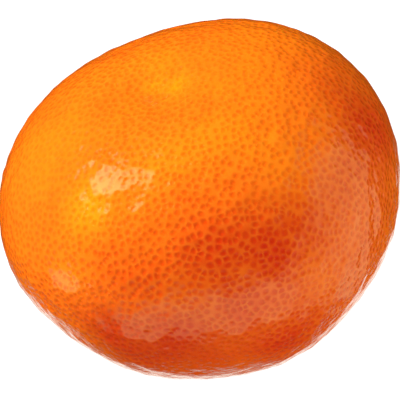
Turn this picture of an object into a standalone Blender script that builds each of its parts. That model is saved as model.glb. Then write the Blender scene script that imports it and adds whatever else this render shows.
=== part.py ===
"""A mandarin, resting on a small flat spot beside its stem end, and the calyx that it was picked with.

Metres, +Z up. The origin lies on the resting surface, under the middle of the object's box.
The fruit's own axis runs from its stem end to its blossom end, and leans a little towards -X.
Run it with: blender --background --python part.py
"""

import math

import bmesh
import bpy
from mathutils import Vector

MM = 0.001
SHARP_ANGLE = math.radians(40)  # edges sharper than this are shaded as edges

# The fruit's profile, before its hollows and swells.
EQUATOR_RADIUS = 34.2 * MM
POLE_RADIUS = 26.2 * MM
SQUARENESS = 2.2  # exponent of the profile: 2 is an ellipse, and more is squarer
SKIN_FINENESS = 5  # subdivisions of the ball that the fruit is shaped from

# How it rests.
LEAN = math.radians(16.5)
FLAT_DEPTH = 1.0 * MM  # how far the peel has given way under the fruit's weight

# Directions from the fruit's centre are a polar angle from the blossom end and an azimuth, in degrees.
BLOSSOM_END = (0, 0)
STEM_END = (170, 0)  # a little off the axis, as it grew

# Depth in millimetres and spread in degrees.
BLOSSOM_HOLLOW = (2.2, 17)
STEM_HOLLOW = (3.2, 12)
# The raised collar round the stem end: its height, spread, and distance from the stem end in degrees.
STEM_COLLAR = (1.3, 12, 20)

# Soft swells (+) and flats (-) that the fruit grew with: polar angle, azimuth, spread, height in mm.
SWELLS = {
    "right_cheek": (90, 15, 26, 1.8),
    "right_shoulder": (65, 40, 26, 0.9),
    "back_flat": (48, 100, 30, -1.1),
    "left_shoulder": (65, 170, 28, 0.5),
    "left_cheek": (90, -165, 26, 0.7),
    "left_flat": (112, -145, 21, -1.4),
    "front_swell_below": (135, -60, 22, 2.0),
    "right_swell_below": (120, -15, 22, 1.2),
}

# The calyx: a thin star of short lobes in the stem hollow, with the stub of the cut stalk in its middle.
CALYX_RADIUS = 4.3 * MM
CALYX_SHOULDER = 0.86 * CALYX_RADIUS  # where the top side starts to round down to the rim
CALYX_INNER = 0.55 * CALYX_RADIUS
CALYX_THICKNESS = 0.8 * MM
CALYX_RIM = 0.4 * MM  # thickness at the rim
CALYX_GAP = 0.3 * MM  # between the calyx and the skin
CALYX_LOBES = 5
LOBE_DEPTH = 0.22  # share of the radius that the notches between lobes take
CALYX_STEPS = 40
STALK_RADIUS = 1.1 * MM
STALK_FOOT_RADIUS = 1.5 * MM
STALK_HEIGHT = 1.9 * MM


def direction(polar, azimuth):
    """Unit vector from the fruit's centre, for two angles in degrees."""
    p, a = math.radians(polar), math.radians(azimuth)
    return Vector((math.sin(p) * math.cos(a), math.sin(p) * math.sin(a), math.cos(p)))


def fade(angle, spread):
    """A smooth hump of height 1 that has faded to 1/e at spread. The angle is in radians."""
    return math.exp(-((math.degrees(angle) / spread) ** 2))


def skin_radius(toward):
    """Distance from the fruit's centre to its skin, along a unit vector in the fruit's own frame."""
    across = math.hypot(toward.x, toward.y) / EQUATOR_RADIUS
    along = abs(toward.z) / POLE_RADIUS
    radius = (across**SQUARENESS + along**SQUARENESS) ** (-1 / SQUARENESS)

    depth, spread = BLOSSOM_HOLLOW
    radius -= depth * MM * fade(toward.angle(direction(*BLOSSOM_END)), spread)

    from_stem = toward.angle(direction(*STEM_END))
    depth, spread = STEM_HOLLOW
    radius -= depth * MM * fade(from_stem, spread)
    height, spread, ring = STEM_COLLAR
    radius += height * MM * fade(from_stem - math.radians(ring), spread)

    for polar, azimuth, spread, height in SWELLS.values():
        radius += height * MM * fade(toward.angle(direction(polar, azimuth)), spread)
    return radius


def material(name, colour, roughness):
    made = bpy.data.materials.new(name)
    made.use_nodes = True
    shader = made.node_tree.nodes["Principled BSDF"]
    shader.inputs["Base Color"].default_value = (*colour, 1)
    shader.inputs["Roughness"].default_value = roughness
    shader.inputs["Metallic"].default_value = 0
    return made


def add_object(name, bm, parent, finish):
    """Makes an object of its own from the bmesh, shaded smooth, with its faces pointing out."""
    bmesh.ops.recalc_face_normals(bm, faces=bm.faces[:])
    mesh = bpy.data.meshes.new(name)
    bm.to_mesh(mesh)
    bm.free()
    mesh.shade_smooth()
    mesh.set_sharp_from_angle(angle=SHARP_ANGLE)
    mesh.materials.append(finish)
    made = bpy.data.objects.new(name, mesh)
    made.parent = parent
    bpy.context.scene.collection.objects.link(made)
    return made


def build_fruit(axis, finish):
    """A ball pulled out to the skin's radius, then pressed flat where it rests."""
    bm = bmesh.new()
    bmesh.ops.create_icosphere(bm, subdivisions=SKIN_FINENESS, radius=1)
    for vertex in bm.verts:
        toward = vertex.co.normalized()
        vertex.co = toward * skin_radius(toward)

    down = axis.rotation_euler.to_matrix().inverted() @ Vector((0, 0, -1))
    flat = max(vertex.co.dot(down) for vertex in bm.verts) - FLAT_DEPTH
    for vertex in bm.verts:
        vertex.co -= down * max(0, vertex.co.dot(down) - flat)
    return add_object("fruit", bm, axis, finish)


def calyx_outline(turn):
    """How far out the calyx reaches this way round: 1 at a lobe's tip, and less in the notches."""
    return 1 - LOBE_DEPTH * abs(math.sin(CALYX_LOBES * turn / 2))


def build_calyx(axis, finish):
    """Rings that follow the stem hollow: an underside just off the skin, and a top side over it."""
    stem = direction(*STEM_END)
    side = stem.orthogonal().normalized()
    across = stem.cross(side)
    depth_here = skin_radius(stem)

    def point(distance, turn, height):
        """The point this far from the stem end along the skin, this way round, this high off the skin."""
        angle = distance / depth_here
        sideways = side * math.cos(turn) + across * math.sin(turn)
        toward = stem * math.cos(angle) + sideways * math.sin(angle)
        return toward * (skin_radius(toward) + CALYX_GAP + height)

    turns = [2 * math.pi * step / CALYX_STEPS for step in range(CALYX_STEPS)]
    bm = bmesh.new()

    def ring(radius, height):
        """A closed ring of vertices, lobed like the rim far out and round near the stub."""
        share = max(0.0, radius - STALK_FOOT_RADIUS) / (CALYX_RADIUS - STALK_FOOT_RADIUS)
        return [
            bm.verts.new(point(radius * (1 + share * (calyx_outline(turn) - 1)), turn, height))
            for turn in turns
        ]

    def bridge(outer, inner):
        for step in range(CALYX_STEPS):
            after = (step + 1) % CALYX_STEPS
            bm.faces.new((outer[step], outer[after], inner[after], inner[step]))

    def cap(edge, middle):
        centre = bm.verts.new(middle)
        for step in range(CALYX_STEPS):
            bm.faces.new((edge[step], edge[(step + 1) % CALYX_STEPS], centre))

    stalk_waist = (CALYX_THICKNESS + STALK_HEIGHT) / 2
    rings = [
        ring(CALYX_INNER, 0),
        ring(CALYX_RADIUS, 0),
        ring(CALYX_RADIUS, CALYX_RIM),
        ring(CALYX_SHOULDER, CALYX_THICKNESS),
        ring(CALYX_INNER, CALYX_THICKNESS),
        ring(STALK_FOOT_RADIUS, CALYX_THICKNESS),
        ring(STALK_RADIUS, stalk_waist),
        ring(STALK_RADIUS, STALK_HEIGHT),
    ]
    for one, other in zip(rings, rings[1:]):
        bridge(one, other)
    cap(rings[0], point(0, 0, 0))
    cap(rings[-1], point(0, 0, STALK_HEIGHT))
    return add_object("calyx", bm, axis, finish)


def rest_on_ground(axis, pieces):
    """Moves the axis so that the object's box stands on z = 0 with its middle over the origin."""
    turn = axis.rotation_euler.to_matrix()
    corners = [turn @ vertex.co for piece in pieces for vertex in piece.data.vertices]
    low = Vector(map(min, *corners))
    high = Vector(map(max, *corners))
    middle = (low + high) / 2
    axis.location = (-middle.x, -middle.y, -low.z)


def main():
    for old in list(bpy.data.objects):
        bpy.data.objects.remove(old)
    axis = bpy.data.objects.new("growth_axis", None)
    bpy.context.scene.collection.objects.link(axis)
    axis.rotation_euler = (0, -LEAN, 0)

    peel = material("mandarin_peel", (0.90, 0.24, 0.02), 0.35)
    woody = material("dried_calyx", (0.16, 0.15, 0.05), 0.8)
    pieces = [build_fruit(axis, peel), build_calyx(axis, woody)]
    rest_on_ground(axis, pieces)


main()
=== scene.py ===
import math

import bpy
import numpy as np
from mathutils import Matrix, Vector


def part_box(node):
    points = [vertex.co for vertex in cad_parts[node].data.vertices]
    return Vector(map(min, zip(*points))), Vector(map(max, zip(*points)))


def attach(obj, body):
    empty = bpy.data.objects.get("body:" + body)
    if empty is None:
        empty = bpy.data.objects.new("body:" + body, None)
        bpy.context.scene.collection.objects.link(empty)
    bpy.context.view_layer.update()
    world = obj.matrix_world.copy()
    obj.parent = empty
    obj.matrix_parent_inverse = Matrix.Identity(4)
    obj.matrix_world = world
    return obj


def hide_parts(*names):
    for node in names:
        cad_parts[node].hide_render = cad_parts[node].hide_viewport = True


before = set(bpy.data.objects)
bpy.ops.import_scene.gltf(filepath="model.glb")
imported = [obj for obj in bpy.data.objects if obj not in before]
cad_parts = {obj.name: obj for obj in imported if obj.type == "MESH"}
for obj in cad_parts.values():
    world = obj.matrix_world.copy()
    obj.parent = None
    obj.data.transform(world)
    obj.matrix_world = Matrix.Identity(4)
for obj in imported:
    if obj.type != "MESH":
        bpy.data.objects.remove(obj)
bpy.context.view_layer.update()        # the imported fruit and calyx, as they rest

mm = 0.001
print("frame: nodes", sorted(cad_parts))


def linearColour(hexCode):
    # an sRGB channel s is s/12.92 up to 0.04045, and ((s + 0.055)/1.055)^2.4 above it
    channels = [int(hexCode[at:at + 2], 16) / 255 for at in (1, 3, 5)]
    return [s / 12.92 if s <= 0.04045 else ((s + 0.055) / 1.055) ** 2.4 for s in channels] + [1]


def newMaterial(name):
    # a material of this name, with no nodes yet
    made = bpy.data.materials.new(name)
    made.use_nodes = True
    made.node_tree.nodes.clear()
    return made


def addNode(tree, kind, settings, inputs, output=0):
    # settings: the node's own properties. inputs: by name or number, a value or the socket that feeds it.
    # Returns the output of that name or number. The sockets that go by number here are, in a Map Range, 0 its
    # value, 1 and 2 the range it comes from, 3 and 4 the range it goes to; in a Mix, 0 its share, 2 and 3 its
    # two numbers, 6 and 7 its two colours, and output 2 the mixed colour.
    node = tree.nodes.new(kind)
    for name, value in settings.items():
        setattr(node, name, value)
    for socket, value in inputs.items():
        if isinstance(value, bpy.types.NodeSocket):
            tree.links.new(value, node.inputs[socket])
        else:
            node.inputs[socket].default_value = value
    return node.outputs[output] if len(node.outputs) else None


def addPiece(name, points, faces, material):
    # an object with its place in its mesh, shaded smooth
    mesh = bpy.data.meshes.new(name)
    mesh.from_pydata(points.tolist(), [], faces.tolist())
    mesh.shade_smooth()
    mesh.materials.append(material)
    piece = bpy.data.objects.new(name, mesh)
    bpy.context.scene.collection.objects.link(piece)
    return piece


def writeAttribute(mesh, name, kind, domain, values):
    # a number or a vector for each point or face, which a material reads by this name
    field = {"FLOAT": "value", "FLOAT_VECTOR": "vector"}[kind]
    attribute = mesh.attributes.new(name, kind, domain)
    attribute.data.foreach_set(field, np.ascontiguousarray(values, np.float32).ravel())


def gridQuads(steps):
    # the quads of a grid whose rows are steps + 1 points long: a point, the one after it, and the two beside
    # them in the following row
    row = np.arange(steps)
    corner = (row[:, None] * (steps + 1) + row).ravel()
    return np.stack([corner, corner + 1, corner + steps + 2, corner + steps + 1], 1)


def smoothStep(x):
    # 3x^2 - 2x^3 between 0 and 1
    x = np.clip(x, 0, 1)
    return x * x * (3 - 2 * x)


# The fruit's form is the same ball, hollows and swells as the frame's, in millimetres and degrees. A place on
# it is a polar angle from the blossom end and an azimuth.
fruit = {
    "equatorRadius": 34.2,
    "poleRadius": 26.2,
    "squareness": 2.2,            # exponent of the profile: 2 is an ellipse, and more is squarer
    "lean": 16.5,                 # of its axis, towards -X
    "blossomEnd": (0, 0),
    "stemEnd": (170, 0),
    "blossomHollow": (2.2, 17),   # depth, spread
    "stemHollow": (3.2, 12),      # depth, spread
    "stemCollar": (1.3, 12, 20),  # height, spread, distance from the stem end
    "swells": (                   # polar angle, azimuth, spread, height
        (90, 15, 26, 1.8),
        (65, 40, 26, 0.9),
        (48, 100, 30, -1.1),
        (65, 170, 28, 0.5),
        (90, -165, 26, 0.7),
        (112, -145, 21, -1.4),
        (135, -60, 22, 2.0),
        (120, -15, 22, 1.2),
    ),
    "gridSteps": 127,             # quads along each side of the six grids that the peel is made of
    "restSoftness": 0.12,         # mm, over which the peel turns into the flat spot
    "stylarScar": (0.25, 4.0),    # the small pit where the flower's style fell off: depth, spread
    # furrows that run out of the stem hollow: number, height, distance from the stem end where they are
    # deepest, spread, and distance over which they begin
    "ribs": (9, 0.22, 14, 13, 8),
    # what bends them: cycles round the stem end, phase and size in radians
    "ribWander": ((2, 1, 0.5), (3, 0, 0.3)),
    # gentle unevenness: height, shortest and longest wave, number of waves
    "waves": (0.055, 2.4, 8.0, 140),
    "seed": 11,
}


def direction(polar, azimuth):
    # (sin p cos a, sin p sin a, cos p)
    p, a = math.radians(polar), math.radians(azimuth)
    return np.array([math.sin(p) * math.cos(a), math.sin(p) * math.sin(a), math.cos(p)])


def angleFrom(toward, centre):
    # degrees between each unit vector and the centre's
    return np.degrees(np.arccos(np.clip(toward @ centre, -1, 1)))


def hump(angle, spread):
    # exp(-(angle / spread)^2)
    return np.exp(-((angle / spread) ** 2))


def spots(toward, places):
    # the sum over (polar angle, azimuth, spread, amount) of amount * hump(angle from there, spread)
    return sum(amount * hump(angleFrom(toward, direction(polar, azimuth)), spread)
               for polar, azimuth, spread, amount in places)


def profileRadius(across, along):
    # ((across / a)^n + (along / b)^n)^(-1/n) for a unit vector's parts across and along the fruit's axis
    n = fruit["squareness"]
    return ((across / fruit["equatorRadius"]) ** n + (along / fruit["poleRadius"]) ** n) ** (-1 / n)


def skinRadius(toward):
    # the profile's radius less the hollows, plus the collar and the swells, in mm
    radius = profileRadius(np.hypot(toward[:, 0], toward[:, 1]), np.abs(toward[:, 2]))
    fromStem = angleFrom(toward, direction(*fruit["stemEnd"]))
    depth, spread = fruit["blossomHollow"]
    radius -= depth * hump(angleFrom(toward, direction(*fruit["blossomEnd"])), spread)
    depth, spread = fruit["stemHollow"]
    radius -= depth * hump(fromStem, spread)
    height, spread, ring = fruit["stemCollar"]
    radius += height * hump(fromStem - ring, spread)
    return radius + spots(toward, fruit["swells"])


def lean(points):
    # turns the fruit's own frame about Y, so that its blossom end leans towards -X, and millimetres to metres
    turn = math.radians(fruit["lean"])
    cos, sin = math.cos(turn), math.sin(turn)
    return points @ np.array([[cos, 0, sin], [0, 1, 0], [-sin, 0, cos]]) * mm


def pressFlat(points):
    # a softened max(z, 0), (z + sqrt(z^2 + soft^2)) / 2, which flattens what would lie below the table
    z, soft = points[:, 2], fruit["restSoftness"] * mm
    return np.column_stack([points[:, :2], (z + np.sqrt(z ** 2 + soft ** 2)) / 2])


def stemFrame():
    # the stem end's direction, and two that are square to it: its cross products with Y and with that one
    stem = direction(*fruit["stemEnd"])
    side = np.cross(stem, (0, 1, 0))
    side /= np.linalg.norm(side)
    return stem, side, np.cross(stem, side)


def roundGrid(steps):
    # For u and v from -45 to 45 degrees, the direction (tan u, tan v, 1), turned to the six sides of a cube.
    # Corners that two grids share are made one.
    across = np.tan(np.linspace(-math.pi / 4, math.pi / 4, steps + 1))
    across[0], across[-1] = -1, 1
    u, v = (grid.ravel() for grid in np.meshgrid(across, across))
    one = np.ones_like(u)
    sides = [(u, v, one), (u, -v, -one), (one, u, v), (-one, u, -v), (v, one, u), (v, -one, -u)]
    toward = np.concatenate([np.stack(side, 1) for side in sides])
    toward /= np.linalg.norm(toward, axis=1)[:, None]
    faces = np.concatenate([gridQuads(steps) + side * (steps + 1) ** 2 for side in range(len(sides))])
    _, first, number = np.unique(np.round(toward, 6), axis=0, return_index=True, return_inverse=True)
    return toward[first], number.reshape(-1)[faces]


def waveField(points, rng, shortest, longest, count):
    # the sum of count cosines of random direction, wavelength and phase, over sqrt(count / 2)
    along = rng.normal(size=(count, 3))
    along /= np.linalg.norm(along, axis=1)[:, None]
    waveLength = shortest * (longest / shortest) ** rng.random(count)
    phase = rng.random(count) * 2 * math.pi
    waves = np.cos(points @ (along * (2 * math.pi / waveLength)[:, None]).T + phase)
    return waves.sum(1) / math.sqrt(count / 2)


def unevenness(toward, smooth):
    # waves all over, plus height * hump * cos(number * turn + wander) round the stem end, which begins at 0
    # there, less a hump at the style's pit
    rng = np.random.default_rng(fruit["seed"])
    height, shortest, longest, count = fruit["waves"]
    rise = height * waveField(smooth, rng, shortest, longest, count)
    stem, side, across = stemFrame()
    fromStem = angleFrom(toward, stem)
    turn = np.arctan2(toward @ across, toward @ side)
    wander = sum(size * np.sin(cycles * turn + phase) for cycles, phase, size in fruit["ribWander"])
    number, height, ring, spread, start = fruit["ribs"]
    begin = np.minimum(1, fromStem / start)
    rise += height * hump(fromStem - ring, spread) * np.cos(number * turn + wander) * begin
    depth, spread = fruit["stylarScar"]
    return rise - depth * hump(angleFrom(toward, direction(*fruit["blossomEnd"])), spread)


# the fruit's centre is where its box gets the same middle and top as the frame's
toward, quads = roundGrid(fruit["gridSteps"])
smoothSkin = toward * skinRadius(toward)[:, None]
leaned = lean(smoothSkin)
low, high = (np.array(corner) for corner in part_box("fruit"))
fruitCentre = (low + high) / 2 - (leaned.min(0) + leaned.max(0)) / 2
fruitCentre[2] = high[2] - leaned[:, 2].max()
print("form:", len(toward), "points,", 2 * len(quads), "triangles")


# Oil glands are pits with darker, redder peel over them.
glands = {
    "count": 7600,
    "jitter": 0.42,            # share of the spacing that a gland may be off the even pattern
    "evening": (0.6, 0.6),     # each pass moves the glands this share of the way to their cells' middles
    "strength": (0.34, 0.62),  # how dark a gland's dot is, from the faintest to the darkest
    "pitDepth": 0.015,         # mm in the mesh
    "pitRadius": 0.6,          # mm in the mesh
    "profileSteps": 720,       # steps along the profile that its area is added up in
    # where the glands show less: polar angle, azimuth, spread, and how much less
    "faint": (
        (25, 20, 34, 0.66),
        (45, -165, 36, 0.62),
        (100, -88, 16, 0.20),
        (107, -88, 20, 0.85),
        (85, -115, 14, 0.65),
        (100, -42, 22, 0.40),
        (86, -5, 15, 0.50),
        # the dots faded under the key highlight, so the colour there is lighter: a painted highlight
        (43, -108, 9, 0.35),
        (64, 18, 17, 0.30),
        (66, -62, 11, 0.15),
    ),
    "seed": 11,
}


def nearest(points, centres, ranks, chunk=2048):
    # numbers of the centres with the largest dot product with each point, the nearest first
    points, centres = points.astype(np.float32), centres.astype(np.float32)
    found = np.empty((len(points), ranks), int)
    for start in range(0, len(points), chunk):
        closeness = points[start:start + chunk] @ centres.T
        rows = np.arange(len(closeness))
        for rank in range(ranks):
            best = closeness.argmax(1)
            found[start:start + chunk, rank] = best
            closeness[rows, best] = -9   # below any dot product
    return found


def scatterGlands():
    # Gland i of n lies at the polar angle that leaves (i + 0.5)/n of the skin's area above it, turned by i
    # golden angles. The area grows with r sin p times the length of the step along the profile. Each gland is
    # then moved at random, and part of the way to the middle of the skin that is nearest to it.
    rng = np.random.default_rng(glands["seed"])
    count = glands["count"]
    p = np.linspace(0, math.pi, glands["profileSteps"] + 1)
    r = profileRadius(np.abs(np.sin(p)), np.abs(np.cos(p)))
    step = np.hypot(np.diff(r * np.sin(p)), np.diff(r * np.cos(p)))
    girth = r * np.sin(p)
    area = np.concatenate([[0], np.cumsum(step * girth[1:] + step * girth[:-1])])
    number = np.arange(count)
    polar = np.interp((number + 0.5) / count * area[-1], area, p)
    turn = number * math.pi * (3 - math.sqrt(5))
    centres = np.stack([np.sin(polar) * np.cos(turn), np.sin(polar) * np.sin(turn), np.cos(polar)], 1)
    spacing = math.sqrt(4 * math.pi / count)
    centres += rng.normal(size=centres.shape) * spacing * glands["jitter"]
    centres /= np.linalg.norm(centres, axis=1)[:, None]
    for share in glands["evening"]:
        owner = nearest(toward, centres, 1)[:, 0]
        size = np.maximum(1, np.bincount(owner, minlength=count))
        total = np.stack([np.bincount(owner, toward[:, axis], count) for axis in range(3)], 1)
        middle = total / size[:, None]
        centres += share * np.where(np.linalg.norm(middle, axis=1)[:, None] > 0, middle - centres, 0)
        centres /= np.linalg.norm(centres, axis=1)[:, None]
    return centres, rng.uniform(*glands["strength"], count)


# the skin with its waves and pits, and for each of its quads the two nearest glands
glandToward, glandStrength = scatterGlands()
glandSpot = glandToward * skinRadius(glandToward)[:, None]
glandPlace = pressFlat(lean(glandSpot) + fruitCentre)
owner = nearest(toward, glandToward, 1)[:, 0]
reach = np.linalg.norm(smoothSkin - glandSpot[owner], axis=1) / glands["pitRadius"]
pit = glandStrength[owner] * smoothStep(1 - reach)
rise = unevenness(toward, smoothSkin) - glands["pitDepth"] * pit
skin = pressFlat(lean(toward * (skinRadius(toward) + rise)[:, None]) + fruitCentre)
faceToward = toward[quads].mean(1)
faceToward /= np.linalg.norm(faceToward, axis=1)[:, None]
faceGlands = nearest(faceToward, glandToward, 2)
print("glands:", glands["count"])


peel = {
    "network": "#FA740C",        # peel near the glands
    "ridge": "#FE881E",          # and halfway between them
    "glandTint": "#E88E30",      # what a gland multiplies that by: its oil lets the red show
    "ripeAndShade": "#DB3006",           # redder blushes, darkened to paint shade where less light falls
    "yellowAndLit": "#FF9406",         # yellower blushes, also painting light where the upper left is lit
    "scar": "#C06A1C",           # corky tissue
    "roughness": (0.22, 0.4),    # of the skin, and of its corky tissue
    "ior": 1.45,
    "specular": 0.2,             # below the wax; 0.5 is what its IOR alone would give
    "coat": 1.0,                 # wax on the skin between the glands
    "coatInPits": 0.95,          # and in the pits over them
    "coatRoughness": 0.08,
    "coatIor": 1.55,
    "scatter": (0.2, 1.0),       # share of the light that goes into the rind, and how far, mm
    "scatterReach": (1.0, 0.35, 0.1),   # shares of that distance that red, green and blue go
    "bumpDepth": 0.14,           # mm
    "waxBump": 0.022,            # mm, shallower since the wax fills the pits
    "grainHeight": 0.12,         # share of the pits' depth
    "warp": 0.15,                # how far the noise moves the dots' outlines, mm
    "net": 0.4,                  # how much of the ridge colour shows between the glands
    "netFrom": 0.4,              # where it starts: 0 is over a gland, and 1 midway to the next
    "dotRadius": 0.86,           # mm, where a gland's dot has faded out
    "pitRadius": 0.75,           # mm, and its pit
    "noises": {                  # size in mm, detail and output of each
        "warp": (1.0, 1, "Color"),
        "mottle": (1.8, 1, "Fac"),
        "grain": (0.25, 2, "Fac"),
        "cork": (0.6, 2, "Fac"),
    },
    # how a noise makes the net and the cork patchy: its range, and the strengths that this becomes
    "patches": {"mottle": (0.25, 0.75, 0.2, 1.0), "cork": (0.3, 0.7, 0.3, 1.0)},
    # random blushes: amount, shortest and longest wave in mm, number of waves
    "waves": (0.07, 5, 30, 90),
    # polar angle, azimuth, spread, and amount: +1 is fully yellow, and -1 fully red and dark. Partly the
    # peel's own colour, partly painted light where the upper left is lit and painted shade where less light
    # falls
    "blushesLightAndShade": (
        # in and round the blossom hollow
        (6, 95, 4, 0.6),
        (9, 22, 5, 0.5),
        (21, 97, 12, 0.20),
        (17, -60, 8, -0.20),
        (20, 180, 6, -0.15),
        # the yellower shoulders, partly painted light on the lit upper part
        (39, -168, 10, 0.20),
        (47, 20, 20, 0.25),
        (46, 42, 10, 0.25),
        (33, -72, 14, 0.30),
        (39, -45, 14, 0.30),
        (36, -42, 8, 0.25),
        (37, -94, 9, 0.30),
        (50, -30, 14, 0.20),
        (56, -50, 9, 0.20),
        (51, -52, 10, -0.20),
        (46, -60, 8, -0.15),
        (47, -78, 8, -0.20),
        # the left cheek, with a yellow patch that is partly painted light beside the key highlight
        (49, -120, 8, 0.80),
        (50, -124, 6, 0.25),
        (46, -129, 6, 0.35),
        (69, -126, 7, 0.45),
        (61, -115, 7, -0.25),
        (77, -108, 10, -0.20),
        (74, -109, 7, 0.20),
        (84, -121, 8, -0.25),
        # the deep red across the front, partly painted shade in the darkest part between the reflections
        (71, -65, 13, -0.80),
        (62, -84, 9, -0.45),
        (61, -74, 6, -0.30),
        (66, -100, 7, -0.35),
        (70, -54, 9, -0.25),
        (73, -42, 8, -0.35),
        (73, -71, 4, 0.35),
        (80, -88, 8, -0.15),
        (84, -62, 7, -0.25),
        (86, -76, 6, -0.35),
        (85, -96, 6, -0.25),
        # the right cheek, redder and darker as painted shade where its rim turns from the light
        (60, 16, 11, -0.25),
        (66, -8, 7, -0.20),
        (70, 3, 16, -0.40),
        (76, -4, 12, -0.40),
        (88, 10, 12, -0.35),
        (80, -18, 16, -0.40),
        (74, -33, 8, -0.20),
        (98, -36, 12, -0.40),
        # low at the front, partly painted shade on the underside
        (103, -85, 34, -0.45),
        (87, -112, 12, -0.55),
        (97, -110, 9, -0.35),
        (97, -92, 11, -0.60),
        (98, -90, 8, 0.30),
        (102, -72, 7, -0.25),
        (105, -60, 13, -0.60),
    ),
    # corky spots where the flower's style fell off: polar angle, azimuth, spread, amount
    "scars": ((3.5, 175, 2.0, 0.7), (3.5, -110, 2.2, 0.6), (4.5, -10, 1.6, 0.5)),
    "seed": 23,
}


def blushLightAndShadeField():
    # the sum of the blushes' humps, plus slow random waves: the peel's own patches of colour together with
    # painted light and shade
    amount, shortest, longest, count = peel["waves"]
    slow = waveField(smoothSkin, np.random.default_rng(peel["seed"]), shortest, longest, count)
    return amount * slow + spots(toward, peel["blushesLightAndShade"])


def peelMaterial():
    # Ripe mandarin rind: a waxed, oily skin over orange tissue, full of oil glands. To the eye it is a deep
    # orange with darker, redder dots 1.4 mm apart, each in a shallow pit, under a broken glossy sheen.
    material = newMaterial("mandarinRind")
    tree = material.node_tree
    blend = {"data_type": "RGBA"}
    tint = {"data_type": "RGBA", "blend_type": "MULTIPLY"}
    softly = {"interpolation_type": "SMOOTHSTEP"}
    plus = {"operation": "ADD"}
    minus = {"operation": "SUBTRACT"}
    times = {"operation": "MULTIPLY"}
    apart = {"operation": "DISTANCE"}
    place = addNode(tree, "ShaderNodeTexCoord", {}, {}, "Object")
    noise = {}
    for name, (size, detail, output) in peel["noises"].items():
        inputs = {"Vector": place, "Scale": 1 / (size * mm), "Detail": detail}
        noise[name] = addNode(tree, "ShaderNodeTexNoise", {}, inputs, output)
    field = {}
    for name in ("blushLightAndShade", "scar", "glandShow", "nearStrength"):
        field[name] = addNode(tree, "ShaderNodeAttribute", {"attribute_name": name}, {}, "Fac")

    # how far the two nearest glands are, in metres, and halfway: 0 over a gland and 1 midway to the next
    spread = 2 * peel["warp"] * mm
    shift = addNode(tree, "ShaderNodeVectorMath", minus, {0: noise["warp"], 1: (0.5, 0.5, 0.5)})
    shift = addNode(tree, "ShaderNodeVectorMath", {"operation": "SCALE"}, {0: shift, "Scale": spread})
    warped = addNode(tree, "ShaderNodeVectorMath", plus, {0: place, 1: shift})
    away = []
    for name in ("nearGland", "nextGland"):
        gland = addNode(tree, "ShaderNodeAttribute", {"attribute_name": name}, {}, "Vector")
        away.append(addNode(tree, "ShaderNodeVectorMath", apart, {0: warped, 1: gland}, "Value"))
    whole = addNode(tree, "ShaderNodeMath", plus, {0: away[0], 1: away[1]})
    double = addNode(tree, "ShaderNodeMath", times, {0: away[0], 1: 2.0})
    halfway = addNode(tree, "ShaderNodeMath", {"operation": "DIVIDE"}, {0: double, 1: whole})

    # a gland's dot and its pit, each 1 over its middle, then the net of ridges, and the cork
    fade = {0: away[0], 1: 0.0, 3: 1.0, 4: 0.0}
    dot = addNode(tree, "ShaderNodeMapRange", softly, {**fade, 2: peel["dotRadius"] * mm})
    pit = addNode(tree, "ShaderNodeMapRange", softly, {**fade, 2: peel["pitRadius"] * mm})
    for factor in (field["nearStrength"], field["glandShow"]):
        dot = addNode(tree, "ShaderNodeMath", times, {0: dot, 1: factor})
    patchy = {}
    for name, (low, high, least, most) in peel["patches"].items():
        inputs = {0: noise[name], 1: low, 2: high, 3: least, 4: most}
        patchy[name] = addNode(tree, "ShaderNodeMapRange", softly, inputs)
    ridge = addNode(tree, "ShaderNodeMapRange", softly, {0: halfway, 1: peel["netFrom"], 2: 1.0})
    for factor in (patchy["mottle"], field["glandShow"], peel["net"]):
        ridge = addNode(tree, "ShaderNodeMath", times, {0: ridge, 1: factor})
    corky = addNode(tree, "ShaderNodeMath", times, {0: patchy["cork"], 1: field["scar"]})

    # colour: blushes, which are partly the peel's own patches and partly painted light and shade, then the
    # paler net between the glands, then the glands, then cork
    redderAndShaded = addNode(tree, "ShaderNodeMapRange", {}, {0: field["blushLightAndShade"], 1: 0.0, 2: -1.0})
    yellowerAndLit = addNode(tree, "ShaderNodeMapRange", {}, {0: field["blushLightAndShade"], 1: 0.0, 2: 1.0})
    base = linearColour(peel["network"])
    for settings, share, colour in (
        (blend, redderAndShaded, "ripeAndShade"),
        (blend, yellowerAndLit, "yellowAndLit"),
        (blend, ridge, "ridge"),
        (tint, dot, "glandTint"),
        (blend, corky, "scar"),
    ):
        base = addNode(tree, "ShaderNodeMix", settings, {0: share, 6: base, 7: linearColour(peel[colour])}, 2)

    # relief and wax, which is thinner in the pits and gone from the cork
    height = addNode(tree, "ShaderNodeMath", times, {0: noise["grain"], 1: peel["grainHeight"]})
    height = addNode(tree, "ShaderNodeMath", minus, {0: height, 1: pit})
    bump = addNode(tree, "ShaderNodeBump", {}, {"Distance": peel["bumpDepth"] * mm, "Height": height})
    waxBump = addNode(tree, "ShaderNodeBump", {}, {"Distance": peel["waxBump"] * mm, "Height": height})
    wax = addNode(tree, "ShaderNodeMapRange", softly, {0: pit, 3: peel["coat"], 4: peel["coatInPits"]})
    bare = addNode(tree, "ShaderNodeMath", minus, {0: 1.0, 1: corky})
    wax = addNode(tree, "ShaderNodeMath", times, {0: wax, 1: bare})
    least, most = peel["roughness"]
    rough = addNode(tree, "ShaderNodeMapRange", {}, {0: corky, 3: least, 4: most})
    scatter, scatterDepth = peel["scatter"]
    shader = addNode(tree, "ShaderNodeBsdfPrincipled", {}, {
        "Base Color": base, "Roughness": rough, "IOR": peel["ior"], "Normal": bump,
        "Specular IOR Level": peel["specular"],
        "Coat Weight": wax, "Coat Roughness": peel["coatRoughness"],
        "Coat IOR": peel["coatIor"], "Coat Normal": waxBump,
        "Subsurface Weight": scatter, "Subsurface Radius": peel["scatterReach"],
        "Subsurface Scale": scatterDepth * mm,
    })
    addNode(tree, "ShaderNodeOutputMaterial", {}, {"Surface": shader})
    return material


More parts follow.
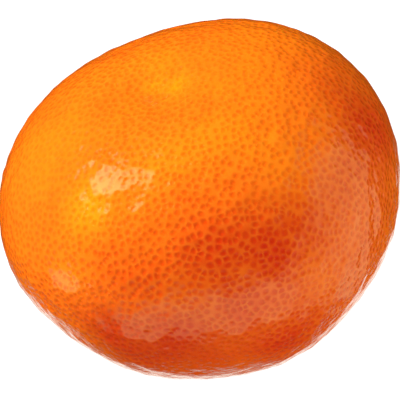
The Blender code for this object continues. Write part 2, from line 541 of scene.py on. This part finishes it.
rind = addPiece("peel", skin, quads, peelMaterial())
writeAttribute(rind.data, "blushLightAndShade", "FLOAT", "POINT", blushLightAndShadeField())
writeAttribute(rind.data, "scar", "FLOAT", "POINT", spots(toward, peel["scars"]))
writeAttribute(rind.data, "glandShow", "FLOAT", "POINT", 1 - spots(toward, glands["faint"]))
for rank, name in enumerate(("nearGland", "nextGland")):
    writeAttribute(rind.data, name, "FLOAT_VECTOR", "FACE", glandPlace[faceGlands[:, rank]])
writeAttribute(rind.data, "nearStrength", "FLOAT", "FACE", glandStrength[faceGlands[:, 0]])
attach(rind, "root")
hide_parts("fruit")
print("peel: done")


# The calyx is a star of dried sepals in the stem hollow, with the stub of the cut stalk on it, in mm. Its
# profile runs from the underside's middle out to the rim, back over the top, up the stalk and over the cut.
calyx = {
    "radius": 4.3,
    "gap": 0.3,               # between the calyx and the skin
    "thickness": 0.75,        # next to the stalk
    "rim": 0.3,               # thickness at the rim
    "stalkFoot": 1.5,         # radius
    "stalkRadius": 1.1,
    "stalkHeight": 1.9,
    # rings of the profile: shares of the calyx's radius, with heights for the underside, and for the edge
    # with heights from the rim's top
    "underside": ((0, 0), (0.4, 0), (0.75, 0), (0.93, 0.02), (1, 0.10)),
    "edge": ((1, -0.06), (0.985, 0)),
    "dome": (0.93, 0.85, 0.75, 0.65, 0.55, 0.46),
    # from 1 at the foot's radius to 0 at the stalk's, with heights from the sepals' top
    "flare": ((1, 0), (0.7, 0.12), (0.2, 0.30), (0, 0.6)),
    # shares of the stalk's radius, with heights from its end
    "stub": ((0.97, -0.15), (0.96, -0.02), (0.90, 0)),
    "cut": ((0.6, -0.06), (0.25, -0.14), (0, -0.16)),
    "turnSteps": 180,
    "lobes": 5,
    "lobeDepth": 0.22,        # share of the radius that the notches take
    "wobble": 0.035,          # and the sepals' differences from each other
    "wobbleCycles": (2, 3, 4),
    "wobblePhases": 0.25,     # of a turn, at most
    "tipLift": 0.12,          # how far the lobes' tips curl off the skin
    "veins": (25, 0.05),      # fine ribs along the sepals: number, height
    "furrows": (7, 0.03),     # ribs along the stalk: number, share of its radius
    "sepalColour": "#6B5A2E",
    "sepalDark": "#33240F",
    "stalkColour": "#5A5424",
    "cutColour": "#B99B66",
    "patches": (0.7, 4),      # brown patches: size in mm, detail
    "fibre": (0.2, 2),        # woody fibre: size in mm, detail
    "fibreDepth": 0.05,       # mm
    "roughness": 0.75,
    "ior": 1.45,
    "seed": 31,
}


def calyxMaterial():
    # Dried citrus calyx and stalk: thin, leathery sepals gone from green to brown, with a woody, paler cut.
    # To the eye it is matte, veined and unevenly brown.
    material = newMaterial("driedCalyx")
    tree = material.node_tree
    blend = {"data_type": "RGBA"}
    place = addNode(tree, "ShaderNodeTexCoord", {}, {}, "Object")
    noise = {}
    for name in ("patches", "fibre"):
        size, detail = calyx[name]
        inputs = {"Vector": place, "Scale": 1 / (size * mm), "Detail": detail}
        noise[name] = addNode(tree, "ShaderNodeTexNoise", {}, inputs)
    stalk = addNode(tree, "ShaderNodeAttribute", {"attribute_name": "stalk"}, {}, "Fac")
    cut = addNode(tree, "ShaderNodeAttribute", {"attribute_name": "cut"}, {}, "Fac")
    base = linearColour(calyx["sepalColour"])
    for share, colour in ((noise["patches"], "sepalDark"), (stalk, "stalkColour"), (cut, "cutColour")):
        base = addNode(tree, "ShaderNodeMix", blend, {0: share, 6: base, 7: linearColour(calyx[colour])}, 2)
    depth = calyx["fibreDepth"] * mm
    bump = addNode(tree, "ShaderNodeBump", {}, {"Distance": depth, "Height": noise["fibre"]})
    shader = addNode(tree, "ShaderNodeBsdfPrincipled", {}, {
        "Base Color": base, "Roughness": calyx["roughness"], "IOR": calyx["ior"], "Normal": bump})
    addNode(tree, "ShaderNodeOutputMaterial", {}, {"Surface": shader})
    return material


def calyxRings():
    # The profile as rows of distance from the middle and height off the skin, and the numbers of the first
    # rings of the top side, the stalk and the cut. Over the dome, height goes with sqrt(1 - share^2).
    radius, foot, stalk = calyx["radius"], calyx["stalkFoot"], calyx["stalkRadius"]
    tall, thick, rim = calyx["stalkHeight"], calyx["thickness"], calyx["rim"]
    under = [(share * radius, lift) for share, lift in calyx["underside"]]
    edge = [(share * radius, rim + lift) for share, lift in calyx["edge"]]
    dome = [(share * radius, rim + (thick - rim) * math.sqrt(1 - share ** 2)) for share in calyx["dome"]]
    flare = [(stalk + share * (foot - stalk), thick + lift) for share, lift in calyx["flare"]]
    stub = [(share * stalk, tall + lift) for share, lift in calyx["stub"]]
    cut = [(share * stalk, tall + lift) for share, lift in calyx["cut"]]
    sepals = under + edge + dome
    rings = np.array(sepals + flare + stub + cut)
    return rings, (len(under), len(sepals) + 1, len(rings) - len(cut) - 1)


def makeCalyx():
    # A point at distance s from the stem end along the skin, turn t and height h off the skin:
    # direction cos(s/r) stem + sin(s/r) (cos t side + sin t across), at the skin's radius + gap + h.
    # Towards the rim, s shrinks to 1 - depth |sin(lobes t / 2)| of itself, give or take the wobble.
    stem, side, across = stemFrame()
    rings, (topFrom, stalkFrom, cutFrom) = calyxRings()
    out, height = rings[:, :1], rings[:, 1:]
    rank = np.arange(len(rings))
    steps = calyx["turnSteps"]
    turn = np.linspace(0, 2 * math.pi, steps, endpoint=False)[None, :]

    foot = calyx["stalkFoot"]
    share = np.clip((out - foot) / (calyx["radius"] - foot), 0, 1)   # 0 on the stalk, 1 at the rim
    cycles = calyx["wobbleCycles"]
    phases = np.random.default_rng(calyx["seed"]).random(len(cycles)) * calyx["wobblePhases"] * 2 * math.pi
    wobble = sum(np.cos(cycle * turn + phase) for cycle, phase in zip(cycles, phases)) - 1
    outline = 1 - calyx["lobeDepth"] * np.abs(np.sin(calyx["lobes"] * turn / 2)) + calyx["wobble"] * wobble
    number, size = calyx["furrows"]
    distance = out * (1 + share * (outline - 1)) + np.where(share == 0, size * out * np.cos(number * turn), 0)
    number, size = calyx["veins"]
    height = height + np.where(rank[:, None] >= topFrom, size * share * np.cos(number * turn), 0)
    height += calyx["tipLift"] * share ** 3 * np.cos(calyx["lobes"] * turn / 2) ** 2

    angle = (distance / skinRadius(stem[None])[0])[..., None]
    sideways = np.cos(turn)[..., None] * side + np.sin(turn)[..., None] * across
    outward = (np.cos(angle) * stem + np.sin(angle) * sideways).reshape(-1, 3)
    points = outward * (skinRadius(outward) + calyx["gap"] + height.ravel())[:, None]
    points = lean(points) + fruitCentre
    row = rank[:-1, None] * steps
    step = np.arange(steps)[None, :]
    after = (step + 1) % steps
    faces = np.stack([row + step, row + after, row + steps + after, row + steps + step], -1).reshape(-1, 4)
    piece = addPiece("calyxAndStalk", points, faces, calyxMaterial())
    writeAttribute(piece.data, "stalk", "FLOAT", "POINT", np.repeat(rank >= stalkFrom, steps))
    writeAttribute(piece.data, "cut", "FLOAT", "POINT", np.repeat(rank >= cutFrom, steps))
    return piece


button = makeCalyx()
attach(button, "root")
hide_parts("calyx")
print("calyx: done")


# The studio is a pale glowing table, soft lights, and cards that only show as reflections.
studio = {
    "floorColour": "#78787A",
    "floorRoughness": 0.9,
    "floorSpecular": 0.1,
    "floorGlow": (0.36, 0.56),  # brightness of the table's own light on the fruit, at its left and right
    "floorBlend": 0.08,         # metres to each side over which it changes
    "floorSeen": 0.97,          # brightness of the table's own light to the camera
    "floorRadius": 4.0,         # metres
    "floorSides": 96,
    "floorDrop": 0.05,          # mm below the fruit's flat spot
    "backdrop": 1.0,            # brightness of the surroundings as the camera sees them
    "ambient": 0.38,            # and as the fruit's colour sees them
    "gloss": 0.40,              # and as its gloss sees them
    "glossColour": "#E8701C",   # the light that the peel itself sheds on what lies round it
    "cardDistance": 0.7,        # metres
    "cardSteps": 40,
}

# azimuth, elevation, distance and size in metres, and how bright it makes a white card that faces it
lights = {
    "keySoftbox": (-108, 36, 0.9, 0.7, 1.82),
    "rightFill": (78, 20, 1.2, 0.8, 0.34),
    "frontFill": (6, 15, 1.2, 0.8, 0.27),
}

# each card's azimuths and, at each of them, its lowest and highest elevation; then its colour and brightness,
# and how many degrees its left, right, lower and upper edges fade over
cards = {
    "windowCard": {
        "azimuths": (-120, -104, -83),
        "lows": (37, 32, 25),
        "highs": (53, 60, 69),
        "colour": "#FFECBC", "brightness": 4.4, "fades": (8, 12, 8, 18),
    },
    "sideCard": {
        "azimuths": (46, 66, 78, 90, 100, 107, 113, 121),
        "lows": (-41, -41, -42, -48, -55, -26, 24, 31),
        "highs": (24, 42, 52, 56, 54, 52, 48, 45),
        "colour": "#FFFAC0", "brightness": 0.77, "fades": (44, 4, 4, 24),
    },
    "frontCard": {
        "azimuths": (-54, -40, -27, -12, 0, 21, 42, 70),
        "lows": (-50, -50, -49, -43, -44, -43, -43, -42),
        "highs": (-27, -15, -4, 4, 6, 8, 5, -2),
        "colour": "#FFF4B8", "brightness": 1.08, "fades": (16, 24, 7, 26),
    },
    # the far side of the white table, which only the lower rim mirrors
    "farTable": {
        "azimuths": (100, 112, 122, 138, 154, 180, 190, 206, 215, 224, 234, 250, 262),
        "lows": (-64, -66, -69, -73, -79, -89, -89, -84, -76, -72, -71, -69, -66),
        "highs": (-56, -55, -51, -44, -34, -44, -48, -46, -47, -50, -53, -53, -54),
        "colour": "#FFF4E8", "brightness": 1.15, "fades": (36, 30, 22, 8),
    },
    # the part of it under the fruit
    "underTable": {
        "azimuths": (95, 180, 265),
        "lows": (-90, -90, -90),
        "highs": (-70, -68, -70),
        "colour": "#FFFCF4", "brightness": 0.35, "fades": (20, 20, 4, 12),
    },
    "lowSpot": {
        "azimuths": (-81, -60),
        "lows": (-33, -25),
        "highs": (-12, -12),
        "colour": "#FFFAC0", "brightness": 1.15, "fades": (5, 5, 5, 4),
    },
}


def heading(azimuth, elevation):
    # (sin a cos e, -cos a cos e, sin e): azimuth 0 is the side that the camera stands on
    a, e = np.radians(azimuth), np.radians(elevation)
    return np.stack([np.sin(a) * np.cos(e), -np.cos(a) * np.cos(e), np.sin(e)], -1)


def addLight(name, azimuth, elevation, distance, size, brightness):
    # power = brightness * (pi * distance)^2 makes a white card that faces the light that bright
    data = bpy.data.lights.new(name, "AREA")
    data.shape = "DISK"
    data.size = size
    data.energy = brightness * (math.pi * distance) ** 2
    data.cycles.use_multiple_importance_sampling = False   # since the cards make the reflections
    lamp = bpy.data.objects.new(name, data)
    away = Vector(heading(azimuth, elevation))
    lamp.location = Vector(fruitCentre) + away * distance
    lamp.rotation_euler = away.to_track_quat("Z", "Y").to_euler()
    lamp.visible_camera = False
    lamp.visible_glossy = False
    bpy.context.scene.collection.objects.link(lamp)


def cardMaterial(name, colour, brightness):
    # A sheet of white card in a window's light: it glows evenly, and fades out towards its edges.
    material = newMaterial(name)
    tree = material.node_tree
    edge = addNode(tree, "ShaderNodeAttribute", {"attribute_name": "edge"}, {}, "Fac")
    glow = addNode(tree, "ShaderNodeEmission", {}, {"Color": linearColour(colour), "Strength": brightness})
    clear = addNode(tree, "ShaderNodeBsdfTransparent", {}, {})
    whole = addNode(tree, "ShaderNodeMixShader", {}, {0: edge, 1: clear, 2: glow})
    addNode(tree, "ShaderNodeOutputMaterial", {}, {"Surface": whole})
    material.cycles.emission_sampling = "NONE"
    return material


def addCard(name, card):
    # part of a ball round the fruit: heading(azimuth, elevation) * distance on a grid, whose elevations run
    # from the card's low to its high edge. The glow falls off smoothly over the degrees next to each edge.
    even = np.linspace(0, 1, studio["cardSteps"] + 1)
    u, v = (grid.ravel() for grid in np.meshgrid(even, even))
    first, last = card["azimuths"][0], card["azimuths"][-1]
    azimuth = first + (last - first) * u
    low = np.interp(azimuth, card["azimuths"], card["lows"])
    high = np.interp(azimuth, card["azimuths"], card["highs"])
    elevation = low + (high - low) * v
    points = fruitCentre + studio["cardDistance"] * heading(azimuth, elevation)
    material = cardMaterial(name, card["colour"], card["brightness"])
    made = addPiece(name, points, gridQuads(studio["cardSteps"]), material)
    left, right, lower, upper = card["fades"]
    edge = smoothStep((azimuth - first) / left) * smoothStep((last - azimuth) / right)
    edge *= smoothStep((elevation - low) / lower) * smoothStep((high - elevation) / upper)
    writeAttribute(made.data, "edge", "FLOAT", "POINT", edge)
    for kind in ("camera", "diffuse", "transmission", "volume_scatter", "shadow"):
        setattr(made, "visible_" + kind, False)


def floorMaterial():
    # A white acrylic light table: plain, matte, and lit a little from below, so that shadows stay faint.
    material = newMaterial("paleTable")
    tree = material.node_tree
    toCamera = addNode(tree, "ShaderNodeLightPath", {}, {}, "Is Camera Ray")
    place = addNode(tree, "ShaderNodeTexCoord", {}, {}, "Object")
    across = addNode(tree, "ShaderNodeSeparateXYZ", {}, {0: place}, "X")
    left, right = studio["floorGlow"]
    blend = studio["floorBlend"]
    uneven = addNode(tree, "ShaderNodeMapRange", {"interpolation_type": "SMOOTHSTEP"}, {
        0: across, 1: -blend, 2: blend, 3: left, 4: right})
    glow = addNode(tree, "ShaderNodeMix", {}, {0: toCamera, 2: uneven, 3: studio["floorSeen"]})
    shader = addNode(tree, "ShaderNodeBsdfPrincipled", {}, {
        "Base Color": linearColour(studio["floorColour"]),
        "Roughness": studio["floorRoughness"], "Specular IOR Level": studio["floorSpecular"],
        "Emission Color": (1, 1, 1, 1), "Emission Strength": glow,
    })
    addNode(tree, "ShaderNodeOutputMaterial", {}, {"Surface": shader})
    return material


def addFloor():
    # one round face: (cos t, sin t) * radius at even turns t, just below the fruit
    turn = np.linspace(0, 2 * math.pi, studio["floorSides"], endpoint=False)
    rim = np.stack([np.cos(turn), np.sin(turn), np.zeros_like(turn)], 1) * studio["floorRadius"]
    rim[:, 2] = -studio["floorDrop"] * mm
    floor = addPiece("floor", rim, np.arange(len(rim))[None, :], floorMaterial())
    floor.visible_glossy = False


def setWorld():
    # the surroundings: white to the camera, dim to the fruit's colour, and orange in its gloss
    world = bpy.data.worlds.new("studioWorld")
    bpy.context.scene.world = world
    world.use_nodes = True
    tree = world.node_tree
    tree.nodes.clear()
    toCamera = addNode(tree, "ShaderNodeLightPath", {}, {}, "Is Camera Ray")
    toGloss = addNode(tree, "ShaderNodeLightPath", {}, {}, "Is Glossy Ray")
    dim = addNode(tree, "ShaderNodeMix", {}, {0: toGloss, 2: studio["ambient"], 3: studio["gloss"]})
    seen = addNode(tree, "ShaderNodeMix", {}, {0: toCamera, 2: dim, 3: studio["backdrop"]})
    colour = addNode(tree, "ShaderNodeMix", {"data_type": "RGBA"}, {
        0: toGloss, 6: (1, 1, 1, 1), 7: linearColour(studio["glossColour"])}, 2)
    back = addNode(tree, "ShaderNodeBackground", {}, {"Color": colour, "Strength": seen})
    addNode(tree, "ShaderNodeOutputWorld", {}, {"Surface": back})
    world.cycles.sampling_method = "NONE"


for name, values in lights.items():
    addLight(name, *values)
for name, card in cards.items():
    addCard(name, card)
addFloor()
setWorld()
print("studio: done")


view = {
    "azimuth": 0,
    "elevation": 44,
    "distance": 0.42,        # metres from the fruit's centre
    "lens": 215.7,           # mm
    "sensor": 36,            # mm
    "clip": (0.01, 20),      # metres
    "aim": (0.54, -0.74),    # mm right and up of the fruit's centre
}


def addCamera():
    # It stands at heading(azimuth, elevation) * distance from its aim, and looks at that: the fruit's centre
    # plus right * x + up * y, where up is the cross product of the heading and right.
    back = heading(view["azimuth"], view["elevation"])
    turn = math.radians(view["azimuth"])
    right = np.array([math.cos(turn), math.sin(turn), 0])
    up = np.cross(back, right)
    aim = fruitCentre + (right * view["aim"][0] + up * view["aim"][1]) * mm
    data = bpy.data.cameras.new("camera")
    data.lens = view["lens"]
    data.sensor_width = view["sensor"]
    data.clip_start, data.clip_end = view["clip"]
    camera = bpy.data.objects.new("camera", data)
    camera.location = Vector(aim + back * view["distance"])
    camera.rotation_euler = Vector(back).to_track_quat("Z", "Y").to_euler()
    bpy.context.scene.collection.objects.link(camera)
    bpy.context.scene.camera = camera


addCamera()
bpy.context.scene.view_settings.view_transform = "Standard"   # keeps the peel's strong orange
bpy.context.scene.view_settings.look = "None"
print("camera: done")
